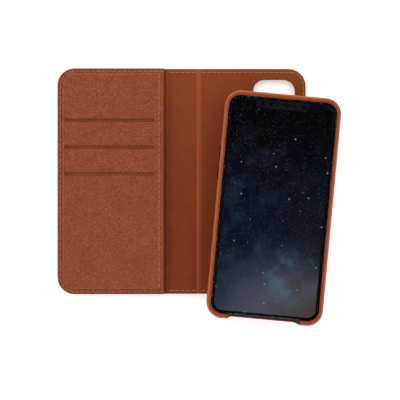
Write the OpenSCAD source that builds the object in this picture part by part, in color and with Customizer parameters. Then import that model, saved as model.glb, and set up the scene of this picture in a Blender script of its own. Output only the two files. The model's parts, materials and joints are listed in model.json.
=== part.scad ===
// Phone wallet case: a folding leather folio with card pockets, and a leather-wrapped
// inner case that comes off the folio's magnetic back panel with the phone it protects.
// The folio lies open on its outer face, with the inner case laid loosely on the back panel.
// Origin: the centre of the back panel's outer face. +X runs towards that panel's free edge,
// +Y towards the top edge and +Z up through the lining.

/* [Folio] */
// Height of the folio along its folds
folio_h = 152; // [150:1:160]
// Width of the back panel, from its fold to its free edge
back_w = 72.2; // [72:0.2:78]
// Width of the front cover, from its fold to its free edge
front_w = 73.2; // [73:0.2:80]
// Width of the spine, from fold to fold
spine_w = 21.8; // [21.4:0.2:26]
// Radius of the folio's four free corners
corner_r = 11.5; // [9:0.5:14]
// Thickness of the grained outer leather
leather_t = 0.8; // [0.6:0.1:1]
// Thickness of the stiffening boards
board_t = 1.0; // [0.8:0.1:1.2]
// Thickness of the smooth lining leather
lining_t = 0.6; // [0.4:0.1:0.8]
// Width of the bare leather strip at each fold
crease_w = 3.0; // [2.6:0.2:3.4]
// Width of the turned-in hem that closes the panels' free edges
hem_w = 3.4; // [3:0.2:4]

/* [Camera window] */
// Width of the window in the back panel
window_w = 28.2; // [26:0.2:29]
// Height of the window
window_h = 34.0; // [30:1:38]
// Radius of the window's corners
window_r = 7.7; // [5:0.1:9]
// Distance from the window to the panel's top and free edges
window_edge = 7.1; // [6:0.1:8]

/* [Card pockets] */
// Width of the grained pocket panel, from the front cover's free edge
pocket_w = 71.5; // [71:0.1:71.6]
// Thickness of the pocket panel's leather
pocket_leather_t = 0.9; // [0.8:0.1:1.1]
// Number of card slits
card_slots = 3; // [1:1:3]
// Length of a card slit
slit_l = 59.5; // [58:0.5:59.5]
// Height of a card slit's open mouth
slit_h = 2.2; // [1.6:0.2:2.6]
// Depth of the top slit below the top edge
first_slit = 35.4; // [34:0.2:38]
// Distance from one slit to the next
slit_pitch = 17.9; // [16:0.1:18.5]
// Thickness of the fabric liners between the pockets
liner_t = 0.2; // [0.15:0.05:0.3]
// Height of the room that each card has behind the leather
card_gap = 0.8; // [0.8:0.05:0.9]
// Height of the banknote pocket behind the card pockets
note_gap = 0.5; // [0.4:0.1:0.6]

/* [Stitching] */
// Distance from the folio's edge to its seam
seam_inset = 2.3; // [2:0.1:2.6]
// Distance from the back panel's free edge to its seam
free_seam_inset = 1.6; // [1.4:0.1:2.6]
// Distance from the start of one stitch to the next
stitch_pitch = 3.4; // [2.8:0.2:4]
// Length of one stitch on the surface
stitch_l = 2.6; // [2:0.1:2.7]
// Thickness of the thread
thread_d = 0.45; // [0.3:0.05:0.6]

/* [Magnets] */
// Diameter of a docking magnet
magnet_d = 10; // [8:1:12]
// Thickness of a docking magnet
magnet_t = 0.9; // [0.8:0.1:0.9]
// Number of magnets in each of the two columns
magnet_rows = 4; // [2:1:4]
// Length of the inner case's steel plate
plate_l = 84; // [70:1:90]
// Width of the steel plate
plate_w = 50; // [44:1:52]
// Thickness of the steel plate
plate_t = 0.4; // [0.3:0.05:0.5]

/* [Inner case] */
// Width of the inner case
case_w = 76.6; // [76.4:0.2:78]
// Length of the inner case
case_l = 150.0; // [149.6:0.2:152]
// Height of the inner case, from its back to its lip
case_h = 10.6; // [10.4:0.1:11.2]
// Radius of the inner case's corners
case_r = 10.4; // [10:0.1:11]
// Thickness of the leather wrapped round the shell
wrap_t = 0.8; // [0.7:0.05:0.8]
// Thickness of the shell's back plate
shell_back_t = 1.2; // [1:0.1:1.3]
// Thickness of the microfibre sheet inside the back
microfibre_t = 0.3; // [0.2:0.05:0.35]
// Width of the cut-out in the bottom lip, at its foot
port_gap_w = 42; // [38:1:46]
// Spread of the cut-out on each side, from its foot to the lip
port_gap_flare = 4; // [2:0.5:6]
// Width of the camera opening in the back
eye_w = 20; // [18:0.5:21]
// Height of the camera opening
eye_h = 31; // [28:0.5:32]

/* [Keys] */
// Length of each volume key
volume_key_l = 9.4; // [8:0.2:10]
// Length of the power key
power_key_l = 17.3; // [14:0.1:18]
// Height of the keys
key_h = 2.4; // [2:0.1:2.8]
// Height that a key stands out of the leather
key_proud = 0.6; // [0.4:0.05:0.8]
// Distance from the case's middle up to the upper volume key
volume_up_y = 33.2; // [32:0.2:36]
// Distance from the case's middle up to the lower volume key
volume_down_y = 19.9; // [18:0.2:21]
// Distance from the case's middle up to the power key
power_y = 28.6; // [24:0.2:34]

/* [Phone] */
// Width of the phone
phone_w = 70.9; // [70.5:0.1:70.9]
// Length of the phone
phone_l = 143.6; // [143:0.1:143.6]
// Thickness of the phone
phone_t = 7.7; // [7.4:0.1:7.7]
// Thickness of the front glass
front_glass_t = 0.8; // [0.6:0.1:0.9]
// Thickness of the back glass
back_glass_t = 0.7; // [0.5:0.1:0.8]
// Width of the sensor notch in the display
notch_w = 34.8; // [30:0.2:36]
// Depth of the sensor notch
notch_h = 4.8; // [4:0.2:6]
// Width of the dark border round the display
bezel = 2.2; // [2:0.1:4]

/* [Layout] */
// Place of the inner case's middle to the right of the back panel's middle
case_x = 13.2; // [10:0.2:16]
// Place of the inner case's middle above the back panel's middle
case_y = -17.9; // [-20:0.1:-16]
// Turn of the inner case on the back panel, clockwise seen from above
case_turn = 5.3; // [0:0.1:6]

/* [Hidden] */
$fn = 64;

// Colours
outer_brown = "#8c4b31";
lining_brown = "#7f4226";
crease_brown = "#8b482b";
edge_brown = "#9c5838";
thread_tan = "#9a6448";
board_grey = "#6f675e";
liner_brown = "#5f3621";
shell_black = "#2a2624";
metal_black = "#18181a";
nickel = "#b8b8b4";
glass_black = "#0a0c12";
display_blue = "#1d2a44";

eps = 0.01;             // overlap that keeps a cut clean
contact_gap = 0.05;     // air between flat faces that part
board_play = 0.1;       // room round a board or plate in its seat

// Heights of the folio's layers
z_board = leather_t;
z_lining = leather_t + board_t;
z_inside = z_lining + lining_t;

// Folds and edges along X
fold_back = -back_w / 2;
fold_front = fold_back - spine_w;
front_edge = fold_front - front_w;

// A panel: low X, high X, and the side that is rounded, -1, 0 or 1
BACK = [fold_back + crease_w / 2, back_w / 2, 1];
SPINE = [fold_front + crease_w / 2, fold_back - crease_w / 2, 0];
FRONT = [front_edge, fold_front - crease_w / 2, -1];
fold_wall = 1.0;        // leather glued down beside a fold, with no board

// Camera window
window_x = back_w / 2 - window_edge - window_w / 2;
window_y = folio_h / 2 - window_edge - window_h / 2;
window_hem = 2.0;

// Docking magnets
magnet_play = 0.05;
magnet_gap_x = 26;
magnet_gap_y = 20;
magnet_low_y = -52;

// Card pockets, from the lining up
rim_w = 4.8;            // sewn border of the pocket panel
margin_w = 3.4;         // flat part of that border, which carries the seam
margin_t = 2.0;
seam_band_w = 5.2;      // sewn band along the pocket panel's inner edge
pocket_edge = front_edge + pocket_w;
POCKET = [front_edge, pocket_edge, -1];
card_half_h = folio_h / 2 - rim_w;
slit_x = front_edge + (rim_w + pocket_w - seam_band_w) / 2;
z_backing = z_inside + note_gap;
layer = liner_t + card_gap;
z_pocket_under = z_backing + liner_t + 3 * layer;
z_pocket_top = z_pocket_under + pocket_leather_t;
hem_gap = 1.0;          // liner above a slit, before its hem
liner_hem_w = 3.0;
pocket_seam_x = pocket_edge - 3.0;

function slit_y(k) = folio_h / 2 - first_slit - k * slit_pitch;
function liner_z(k) = z_backing + liner_t + k * layer;

// Inner case, in its own frame: middle of its back, lip up
case_z = z_inside + thread_d / 2 + contact_gap; // the case lies on the raised seam
back_wrap_t = wrap_t - 0.1;
z_shell_floor = back_wrap_t + shell_back_t;
z_phone = z_shell_floor + microfibre_t + contact_gap;
z_rim = case_h - wrap_t;
phone_play = 0.15;      // room between phone and shell wall
cavity_w = phone_w + 2 * phone_play;
cavity_l = phone_l + 2 * phone_play;
cavity_r = case_r - (case_w - cavity_w) / 2;
back_chamfer = 1.0;
lip_chamfer = 0.5;
eye_x = 19.5;
eye_y = 52.3;
eye_r = 7;

// Keys: distances out from the case's middle plane
key_travel = 0.35;
key_z = z_phone + phone_t / 2;
key_play = 0.1;         // room round a key in its window
flange_t = 0.5;
flange_grow = 1.1;      // flange beyond the cap, all round
flange_room = 0.4;      // shell pocket beyond the flange
key_shoulder = case_w / 2 - wrap_t - 0.5;
flange_out = key_shoulder - contact_gap;
flange_in = flange_out - flange_t;
plunger_in = cavity_w / 2 + key_travel + 0.1;
plunger_l = 6;
plunger_h = 1.6;

// Phone, from its own back up
display_t = 0.6;
z_display = phone_t - front_glass_t - display_t;
frame_wall = 1.9;
midplate_t = 0.7;
ballast_t = 4.2;
ballast_play = 0.2;
ballast_w = 56;
ballast_l = 112;
phone_r = cavity_r - phone_play;
glass_inset = 0.5;
notch_depth = bezel + notch_h;
camera_x = 22;
camera_y = 52.3;
camera_w = 12.4;
camera_l = 24;
bump_t = 1.0;
lens_r = 3.6;
lens_gap = 11.2;
lens_play = 0.05;
lens_t = 0.5;
port_w = 9.0;
port_h = 3.2;
port_depth = 5.5;
tongue_w = 6.4;
tongue_t = 0.7;
tongue_l = 4.6;
sound_hole_r = 0.6;
sound_hole_pitch = 2.2;
sound_hole_x = 8.6;
sound_holes = 5;
side_key_t = 0.5;
side_key_h = 1.8;

// ---- Shared shapes ----

module slab(z0, z1)
    translate([0, 0, z0]) linear_extrude(z1 - z0) children();

// Rectangle centred on the origin with round corners
module rounded_2d(w, l, r) {
    square([w - 2 * r, l], center = true);
    square([w, l - 2 * r], center = true);
    for (x = [-1, 1], y = [-1, 1])
        translate([x * (w / 2 - r), y * (l / 2 - r)]) circle(r);
}

// Bar with half-round ends, along X
module stadium_2d(l, h) {
    square([l - h, h], center = true);
    for (x = [-1, 1]) translate([x * (l - h) / 2, 0]) circle(h / 2);
}

// A panel's outline, drawn in by inset at its free edges and by fold_inset at its folds
module panel_2d(p, inset = 0, fold_inset = 0) {
    x0 = p[0] + (p[2] == -1 ? inset : fold_inset);
    x1 = p[1] - (p[2] == 1 ? inset : fold_inset);
    half_h = folio_h / 2 - inset;
    r = corner_r - inset;
    left_r = p[2] == -1 ? r : 0;
    right_r = p[2] == 1 ? r : 0;
    translate([x0 + left_r, -half_h]) square([x1 - right_r - x0 - left_r, 2 * half_h]);
    if (p[2] != 0) {
        translate([x0, r - half_h]) square([x1 - x0, 2 * (half_h - r)]);
        for (s = [-1, 1])
            translate([p[2] == 1 ? x1 - r : x0 + r, s * (half_h - r)]) circle(r);
    }
}

module window_2d(grow = 0)
    translate([window_x, window_y])
        rounded_2d(window_w + 2 * grow, window_h + 2 * grow, window_r + grow);

// ---- Folio panels ----

// Outer leather with its edges turned in round the board
module outer_leather(p)
    color(outer_brown) difference() {
        slab(0, z_lining) panel_2d(p);
        slab(z_board, z_lining + 1) board_2d(p, 0);
        children();
    }

module board_2d(p, play)
    difference() {
        panel_2d(p, hem_w + play, fold_wall + play);
        if (p == BACK) window_2d(window_hem + play);
    }

module board(p)
    color(board_grey) difference() {
        slab(z_board, z_lining) board_2d(p, board_play);
        children();
    }

module lining(p)
    color(lining_brown) difference() {
        slab(z_lining, z_inside) panel_2d(p);
        children();
    }

module window_cut() slab(-1, z_inside + 1) window_2d();

module at_magnets()
    for (x = [-0.5, 0.5], k = [0 : magnet_rows - 1])
        translate([x * magnet_gap_x, magnet_low_y + k * magnet_gap_y, z_board]) children();

module back_outer_leather() outer_leather(BACK) window_cut();
module back_board()
    board(BACK) at_magnets()
        translate([0, 0, -1]) cylinder(h = board_t + 2, r = magnet_d / 2 + magnet_play);
module docking_magnets()
    color(nickel) at_magnets() cylinder(h = magnet_t, r = magnet_d / 2);
module back_lining() lining(BACK) window_cut();
module spine_outer_leather() outer_leather(SPINE);
module spine_board() board(SPINE);
module spine_lining() lining(SPINE);
module front_outer_leather() outer_leather(FRONT);
module front_board() board(FRONT);
module front_lining() lining(FRONT);

// Leather and lining glued together across a fold
module fold_strip(x)
    color(crease_brown)
        translate([x - crease_w / 2, -folio_h / 2, 0]) cube([crease_w, folio_h, z_inside]);

module back_fold_strip() fold_strip(fold_back);
module front_fold_strip() fold_strip(fold_front);

// ---- Stitching ----

module stitch()
    translate([-stitch_l / 2, -thread_d / 2, 0]) cube([stitch_l, thread_d, thread_d / 2]);

// Stitches from a to b at height z
module stitch_run(a, b, z) {
    run = norm(b - a);
    count = floor(run / stitch_pitch);
    for (k = [0 : count - 1])
        translate(concat(a + (b - a) * (k + 0.5) / count, z))
            rotate(atan2(b[1] - a[1], b[0] - a[0])) stitch();
}

// Stitches round a quarter circle
module stitch_arc(centre, r, from, z) {
    count = floor(r * PI / 2 / stitch_pitch);
    for (k = [0 : count - 1]) {
        turn = from + 90 * (k + 0.5) / count;
        translate([centre[0], centre[1], z]) rotate(turn)
            translate([r, 0, 0]) rotate(90) stitch();
    }
}

// Seam round a panel's top, bottom and free edges
module perimeter_stitching(p, side_inset, z) {
    y = folio_h / 2 - seam_inset;
    r = p[2] == 0 ? 0 : corner_r - seam_inset;
    free_x = p[2] == 1 ? p[1] - side_inset : p[0] + side_inset;
    x0 = p[2] == -1 ? free_x + r : p[0];
    x1 = p[2] == 1 ? free_x - r : p[1];
    color(thread_tan) {
        for (s = [-1, 1]) stitch_run([x0, s * y], [x1, s * y], z);
        if (p[2] != 0) {
            stitch_run([free_x, r - y], [free_x, y - r], z);
            for (s = [-1, 1])
                stitch_arc([free_x - p[2] * r, s * (y - r)], r,
                           p[2] == 1 ? (s == 1 ? 0 : 270) : (s == 1 ? 90 : 180), z);
        }
    }
}

module back_stitching() perimeter_stitching(BACK, free_seam_inset, z_inside);
module spine_stitching() perimeter_stitching(SPINE, 0, z_inside);
module front_stitching() perimeter_stitching(FRONT, seam_inset, z_inside + margin_t);
module pocket_seam_stitching()
    color(thread_tan)
        stitch_run([pocket_seam_x, -card_half_h], [pocket_seam_x, card_half_h], z_pocket_top);

// ---- Card pockets ----

module pocket_outline(inset, edge_inset = 0) panel_2d(POCKET, inset, edge_inset);

// Room behind the leather, from the sewn border to the seam band
module card_room_2d() pocket_outline(rim_w, seam_band_w);

module pocket_panel()
    color(outer_brown) difference() {
        union() {
            slab(z_inside, z_inside + margin_t) pocket_outline(0);
            hull() {
                slab(z_inside + margin_t - 0.5, z_inside + margin_t) pocket_outline(margin_w, $fn = 32);
                slab(z_pocket_top - 0.5, z_pocket_top) pocket_outline(rim_w + 0.6, $fn = 32);
            }
        }
        slab(z_inside - 1, z_pocket_under) card_room_2d();
        slab(z_inside - 1, z_backing + liner_t) pocket_outline(rim_w, -1);
        for (k = [0 : card_slots - 1])
            translate([slit_x - slit_l / 2, slit_y(k) - slit_h / 2, z_pocket_under - 1])
                cube([slit_l, slit_h, pocket_leather_t + 2]);
    }

module note_pocket_backing()
    color(liner_brown) slab(z_backing, z_backing + liner_t) pocket_outline(rim_w);

// The card room between y0 and y1
module card_band_2d(y0, y1)
    intersection() {
        card_room_2d();
        translate([front_edge, y0]) square([pocket_w, y1 - y0]);
    }

// Fabric behind slit k: a sheet, and a hem that joins it to the leather above the slit
module pocket_liner(k) {
    hem_y = slit_y(k) + slit_h / 2 + hem_gap;
    color(liner_brown) {
        slab(liner_z(k), liner_z(k) + liner_t) card_band_2d(-card_half_h, hem_y + liner_hem_w);
        slab(liner_z(k), z_pocket_under) card_band_2d(hem_y, hem_y + liner_hem_w);
    }
}

module pocket_liner_top() pocket_liner(0);
module pocket_liner_middle() pocket_liner(1);
module pocket_liner_bottom() pocket_liner(2);

// ---- Inner case ----

module at_case() translate([case_x, case_y, case_z]) rotate(-case_turn) children();

module cavity_2d() rounded_2d(cavity_w, cavity_l, cavity_r);
module eye_2d(grow = 0)
    translate([eye_x, eye_y]) rounded_2d(eye_w + 2 * grow, eye_h + 2 * grow, eye_r + grow);

// Bar along Y with half-round ends, from x0 to x1 outside the case's side wall
module side_bar(x0, x1, y, l, h)
    translate([x0, y, key_z]) rotate([90, 0, 90]) linear_extrude(x1 - x0) stadium_2d(l, h);

module left_side() mirror([1, 0, 0]) children();

// A key's window in the leather and shell, and its flange pocket in the shell
module key_window(y, l) {
    side_bar(key_shoulder - eps, case_w, y, l + 2 * key_play, key_h + 2 * key_play);
    flange_clear = 2 * (flange_grow + flange_room);
    side_bar(cavity_w / 2 - 1, key_shoulder, y, l + flange_clear, key_h + flange_clear);
}

module key_windows() {
    key_window(power_y, power_key_l);
    left_side() {
        key_window(volume_up_y, volume_key_l);
        key_window(volume_down_y, volume_key_l);
    }
}

// Cut-out that frees the phone's charging port and sound holes
module port_gap() {
    foot = port_gap_w / 2;
    mouth = foot + port_gap_flare;
    translate([0, 1 - cavity_l / 2, 0]) rotate([90, 0, 0]) linear_extrude(case_l)
        polygon([[-foot, z_phone], [foot, z_phone], [mouth, case_h + 1], [-mouth, case_h + 1]]);
}

module case_openings() {
    slab(-1, z_phone + eps) eye_2d();
    key_windows();
    port_gap();
}

module shell_outline() rounded_2d(case_w - 2 * wrap_t, case_l - 2 * wrap_t, case_r - wrap_t);

module case_shell()
    color(shell_black) at_case() difference() {
        slab(back_wrap_t, z_rim) shell_outline();
        slab(z_shell_floor, case_h) cavity_2d();
        slab(0, back_wrap_t + plate_t + contact_gap)
            square([plate_w, plate_l] + 2 * [board_play, board_play], center = true);
        case_openings();
    }

module case_wrap()
    color(edge_brown) at_case() difference() {
        hull($fn = 32) {
            slab(back_chamfer, case_h - lip_chamfer) rounded_2d(case_w, case_l, case_r, $fn = 48);
            slab(0, back_chamfer)
                rounded_2d(case_w - 2 * back_chamfer, case_l - 2 * back_chamfer,
                           case_r - back_chamfer, $fn = 48);
            slab(case_h - lip_chamfer, case_h)
                rounded_2d(case_w - 2 * lip_chamfer, case_l - 2 * lip_chamfer,
                           case_r - lip_chamfer, $fn = 48);
        }
        slab(back_wrap_t, z_rim) shell_outline();
        slab(z_rim - eps, case_h + 1) cavity_2d();
        case_openings();
    }

module case_microfibre()
    color(board_grey) at_case() slab(z_shell_floor, z_shell_floor + microfibre_t) difference() {
        cavity_2d();
        eye_2d(0.5);
    }

module case_steel_plate()
    color(nickel) at_case() slab(back_wrap_t, back_wrap_t + plate_t)
        square([plate_w, plate_l], center = true);

// A key: cap, flange that keeps it in the shell, and plunger towards the phone
module key(y, l)
    color(metal_black) {
        side_bar(flange_out, case_w / 2 + key_proud, y, l, key_h);
        side_bar(flange_in, flange_out, y, l + 2 * flange_grow, key_h + 2 * flange_grow);
        side_bar(plunger_in, flange_in, y, plunger_l, plunger_h);
    }

module volume_up_key() at_case() left_side() key(volume_up_y, volume_key_l);
module volume_down_key() at_case() left_side() key(volume_down_y, volume_key_l);
module power_key() at_case() key(power_y, power_key_l);

// ---- Display dummy phone ----

module at_phone() at_case() translate([0, 0, z_phone]) children();

module phone_outline(inset = 0)
    rounded_2d(phone_w - 2 * inset, phone_l - 2 * inset, phone_r - inset);
module camera_2d() translate([camera_x, camera_y]) rotate(90) stadium_2d(camera_l, camera_w);

// Key moulded flush in the phone's side, or its seat when it runs out past the side
module side_key(y, l, past)
    translate([phone_w / 2 - side_key_t, y - l / 2, (phone_t - side_key_h) / 2])
        cube([side_key_t + past, l, side_key_h]);

module side_key_set(past = 0) {
    side_key(power_y, power_key_l - 2, past);
    left_side() {
        side_key(volume_up_y, volume_key_l - 1, past);
        side_key(volume_down_y, volume_key_l - 1, past);
    }
}

module port_cut() {
    translate([0, -phone_l / 2 - 1, phone_t / 2]) rotate([-90, 0, 0])
        linear_extrude(port_depth + 1) stadium_2d(port_w, port_h);
    for (side = [-1, 1], k = [0 : sound_holes - 1])
        translate([side * (sound_hole_x + k * sound_hole_pitch), -phone_l / 2 - 1, phone_t / 2])
            rotate([-90, 0, 0]) cylinder(h = frame_wall, r = sound_hole_r);
}

module phone_frame()
    color(metal_black) at_phone() difference() {
        slab(back_glass_t, phone_t - front_glass_t) phone_outline();
        slab(z_display, phone_t) phone_outline(frame_wall);
        slab(z_display - midplate_t - ballast_t - ballast_play, z_display - midplate_t)
            square([ballast_w, ballast_l] + 2 * [ballast_play, ballast_play], center = true);
        side_key_set(past = 1);
        port_cut();
    }

module phone_ballast()
    color(nickel) at_phone() slab(z_display - midplate_t - ballast_t, z_display - midplate_t)
        square([ballast_w, ballast_l], center = true);

module phone_back_glass()
    color(glass_black) at_phone() slab(0, back_glass_t) difference() {
        phone_outline(glass_inset);
        camera_2d();
    }

module notch_2d()
    translate([0, (phone_l - notch_depth) / 2]) square([notch_w, notch_depth], center = true);

module phone_display()
    color(display_blue) at_phone() slab(z_display, phone_t - front_glass_t) difference() {
        phone_outline(bezel);
        notch_2d();
    }

module phone_sensor_bar()
    color(metal_black) at_phone() slab(z_display, phone_t - front_glass_t) intersection() {
        phone_outline(frame_wall);
        notch_2d();
    }

module phone_front_glass()
    color(glass_black) at_phone()
        slab(phone_t - front_glass_t, phone_t) phone_outline(glass_inset);

module phone_side_keys() color(metal_black) at_phone() side_key_set();

module at_lenses()
    for (s = [-0.5, 0.5])
        translate([camera_x, camera_y + s * lens_gap, -bump_t]) children();

module phone_camera_bump()
    color(metal_black) at_phone() difference() {
        slab(-bump_t, back_glass_t) camera_2d();
        at_lenses() translate([0, 0, -1]) cylinder(h = lens_t + 1, r = lens_r + lens_play);
    }

module phone_camera_lenses()
    color(glass_black) at_phone() at_lenses() cylinder(h = lens_t, r = lens_r);

module phone_port_tongue()
    color(nickel) at_phone()
        translate([-tongue_w / 2, port_depth - phone_l / 2 - tongue_l, (phone_t - tongue_t) / 2])
            cube([tongue_w, tongue_l, tongue_t]);

back_outer_leather();
back_board();
docking_magnets();
back_lining();
back_stitching();
back_fold_strip();
spine_outer_leather();
spine_board();
spine_lining();
spine_stitching();
front_fold_strip();
front_outer_leather();
front_board();
front_lining();
front_stitching();
pocket_panel();
note_pocket_backing();
pocket_liner_top();
pocket_liner_middle();
pocket_liner_bottom();
pocket_seam_stitching();
case_shell();
case_wrap();
case_microfibre();
case_steel_plate();
volume_up_key();
volume_down_key();
power_key();
phone_frame();
phone_ballast();
phone_back_glass();
phone_display();
phone_sensor_bar();
phone_front_glass();
phone_side_keys();
phone_camera_bump();
phone_camera_lenses();
phone_port_tongue();
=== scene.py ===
"""Looks of the phone wallet case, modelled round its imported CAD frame."""
import json
import math
from contextlib import contextmanager

import bmesh
import bpy
from mathutils import Matrix, Vector


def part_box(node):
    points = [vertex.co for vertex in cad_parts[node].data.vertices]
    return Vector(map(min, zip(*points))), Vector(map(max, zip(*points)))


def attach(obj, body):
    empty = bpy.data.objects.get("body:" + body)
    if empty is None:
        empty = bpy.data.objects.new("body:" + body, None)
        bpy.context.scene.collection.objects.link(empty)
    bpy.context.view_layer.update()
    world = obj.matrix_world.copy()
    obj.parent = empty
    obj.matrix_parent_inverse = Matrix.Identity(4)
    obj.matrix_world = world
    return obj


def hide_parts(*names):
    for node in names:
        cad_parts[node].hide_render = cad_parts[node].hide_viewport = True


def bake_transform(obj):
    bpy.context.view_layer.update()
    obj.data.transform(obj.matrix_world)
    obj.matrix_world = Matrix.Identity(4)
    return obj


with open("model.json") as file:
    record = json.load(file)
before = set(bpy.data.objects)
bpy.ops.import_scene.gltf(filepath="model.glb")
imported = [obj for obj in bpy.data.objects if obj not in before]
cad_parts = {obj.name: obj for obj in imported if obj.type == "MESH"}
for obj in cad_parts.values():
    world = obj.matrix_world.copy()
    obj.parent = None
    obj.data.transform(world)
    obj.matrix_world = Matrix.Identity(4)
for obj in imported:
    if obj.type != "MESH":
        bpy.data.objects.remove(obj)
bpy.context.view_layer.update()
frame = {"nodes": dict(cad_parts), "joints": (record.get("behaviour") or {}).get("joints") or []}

MM = 0.001
TINY = 0.01 * MM
UP, DOWN = 1, -1

# ---- Places and sizes, from the frame ----

joints = {joint["name"]: joint for joint in frame["joints"]}
FOLD_BACK = joints["spine_fold"]["pos_m"][0]
FOLD_FRONT = joints["cover_fold"]["pos_m"][0]
MID_SPINE = (FOLD_BACK + FOLD_FRONT) / 2
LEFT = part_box("front_outer_leather")[0].x
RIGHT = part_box("back_outer_leather")[1].x
HALF_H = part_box("back_lining")[1].y
Z_LINING, Z_INSIDE = (corner.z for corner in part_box("back_lining"))
POCKET_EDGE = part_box("pocket_panel")[1].x
Z_POCKET_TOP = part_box("pocket_panel")[1].z
Z_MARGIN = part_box("front_stitching")[0].z
Z_POCKET_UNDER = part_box("pocket_liner_top")[1].z

CORNER_R = 11.5 * MM
FOLD_REACH = 2.0 * MM       # leather that bends, on each side of a fold
SEAM_INSET = 2.3 * MM
FREE_SEAM_INSET = 1.6 * MM
STITCH_PITCH = 3.4 * MM
STITCH_L = 2.8 * MM
THREAD_R = 0.225 * MM
SEAM_GROOVE = 0.4 * MM      # from a seam's line to the side of its groove

WINDOW = (28.2 * MM, 34.0 * MM)
WINDOW_R = 7.7 * MM
WINDOW_EDGE = 7.1 * MM      # leather between the window and the folio's edge
WINDOW_AT = (RIGHT - WINDOW_EDGE - WINDOW[0] / 2, HALF_H - WINDOW_EDGE - WINDOW[1] / 2)

POCKET_RIM = 4.8 * MM       # sewn border of the pocket panel
CARD_ROOM_INSET = 4.9 * MM
SEAM_BAND = 5.2 * MM        # sewn band along the pocket panel's inner edge
SLIT = (59.5 * MM, 2.2 * MM)
FIRST_SLIT = 35.4 * MM      # from the folio's top edge
SLIT_PITCH = 17.9 * MM
SLIT_X = (LEFT + POCKET_RIM + POCKET_EDGE - SEAM_BAND) / 2
SLIT_Y = [HALF_H - FIRST_SLIT - k * SLIT_PITCH for k in range(3)]
POCKET_SEAM_X = POCKET_EDGE - 3.0 * MM

# The inner case and phone are modelled upright and centred, then laid in place
plate_low, plate_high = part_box("case_steel_plate")
case_low, case_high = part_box("case_wrap")
key_way = joints["volume_up_press"]["axis"]
CASE_TURN = math.atan2(key_way[1], key_way[0])
CASE_AT = Vector(((plate_low.x + plate_high.x) / 2, (plate_low.y + plate_high.y) / 2, case_low.z))
CASE = (76.6 * MM, 150.0 * MM, case_high.z - case_low.z)


def heights(node):
    """Lowest and highest point of a node, measured from the back of the inner case."""
    return [corner.z - CASE_AT.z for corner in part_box(node)]


CASE_R = 10.4 * MM
WRAP_T = 0.8 * MM
BACK_WRAP_T = 0.7 * MM
CAVITY = (71.2 * MM, 143.9 * MM)
CAVITY_R = 7.7 * MM
EYE_AT = (19.5 * MM, 52.3 * MM)
EYE = (20.0 * MM, 31.0 * MM)                    # opening for the camera
EYE_R = 7.0 * MM
Z_KEY = 6.1 * MM
KEY_H = 2.4 * MM
KEY_PROUD = 0.6 * MM
KEY_SEAT_X = CASE[0] / 2 - WRAP_T - 0.5 * MM    # where the shell stops a key's flange
KEYS = [  # body, side, place along the case, length
    ("volume_up", -1, 33.2 * MM, 9.4 * MM),
    ("volume_down", -1, 19.9 * MM, 9.4 * MM),
    ("power", 1, 28.6 * MM, 17.3 * MM),
]

Z_PHONE = heights("phone_back_glass")[0]
PHONE = (70.9 * MM, 143.6 * MM)
PHONE_R = 7.55 * MM
BACK_GLASS_T = 0.7 * MM
GLASS_INSET = 0.5 * MM
Z_DISPLAY = heights("phone_display")[0]
Z_GLASS, Z_PHONE_TOP = heights("phone_front_glass")
BEZEL = 2.2 * MM
NOTCH = (34.8 * MM, 4.8 * MM)
BORDER_INSET = 1.2 * MM     # from the phone's side to the border printed under its glass, whose grey also paints the glass edge's highlight
CAMERA_AT = (22.0 * MM, 52.3 * MM)
CAMERA = (12.4 * MM, 24.0 * MM)
LENS_R = 3.6 * MM
LENS_SPREAD = 5.6 * MM      # from the camera's middle to each lens
PORT = (9.0 * MM, 3.2 * MM)


# ---- Bench tools ----

def select_nothing():
    bpy.ops.object.select_all(action="DESELECT")


def take(*objs):
    select_nothing()
    for obj in objs:
        obj.select_set(True)
    bpy.context.view_layer.objects.active = objs[-1]


def named(name):
    obj = bpy.context.object
    obj.name = obj.data.name = name
    return obj


def apply_place(obj):
    take(obj)
    bpy.ops.object.transform_apply(location=True, rotation=True, scale=True)
    return obj


def block(name, low, high):
    """A box from its low corner to its high corner."""
    low, high = Vector(low), Vector(high)
    select_nothing()
    bpy.ops.mesh.primitive_cube_add(size=1, location=(low + high) / 2)
    obj = named(name)
    obj.scale = high - low
    return apply_place(obj)


def plane(name, middle, size):
    select_nothing()
    bpy.ops.mesh.primitive_plane_add(size=1, location=middle)
    obj = named(name)
    obj.scale = (*size, 1)
    return apply_place(obj)


def rod(name, middle, r, length, axis="Z", sides=24):
    turn = {"X": (0, math.pi / 2, 0), "Y": (math.pi / 2, 0, 0), "Z": (0, 0, 0)}[axis]
    select_nothing()
    bpy.ops.mesh.primitive_cylinder_add(
        vertices=sides, radius=r, depth=length, location=middle, rotation=turn)
    return apply_place(named(name))


@contextmanager
def editing(obj):
    take(obj)
    bpy.ops.object.mode_set(mode="EDIT")
    bpy.ops.mesh.select_all(action="DESELECT")
    yield
    bpy.ops.object.mode_set(mode="OBJECT")


def pick(obj, kind, test):
    """Selects the verts, edges or faces that pass the test, and nothing else."""
    bpy.ops.mesh.select_mode(type={"verts": "VERT", "edges": "EDGE", "faces": "FACE"}[kind])
    bpy.ops.mesh.select_all(action="DESELECT")
    mesh = bmesh.from_edit_mesh(obj.data)
    mesh.normal_update()
    found = [item for item in getattr(mesh, kind) if test(item)]
    for item in found:
        item.select_set(True)
    if kind == "verts":
        mesh.select_flush(True)
    bmesh.update_edit_mesh(obj.data)


def mid(item):
    return sum((v.co for v in item.verts), Vector()) / len(item.verts)


def along(edge, axis):
    way = edge.verts[1].co - edge.verts[0].co
    return abs(way[axis]) > 0.99 * way.length


HALF_ROUND = 0.499      # share of a bar's width that makes its end all but a half circle


def close_ends(obj, gap=0.04 * MM):
    """Merges the sliver left between the two roundings of a half-round end."""
    with editing(obj):
        bpy.ops.mesh.select_all(action="SELECT")
        bpy.ops.mesh.remove_doubles(threshold=gap)
    return obj


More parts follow.
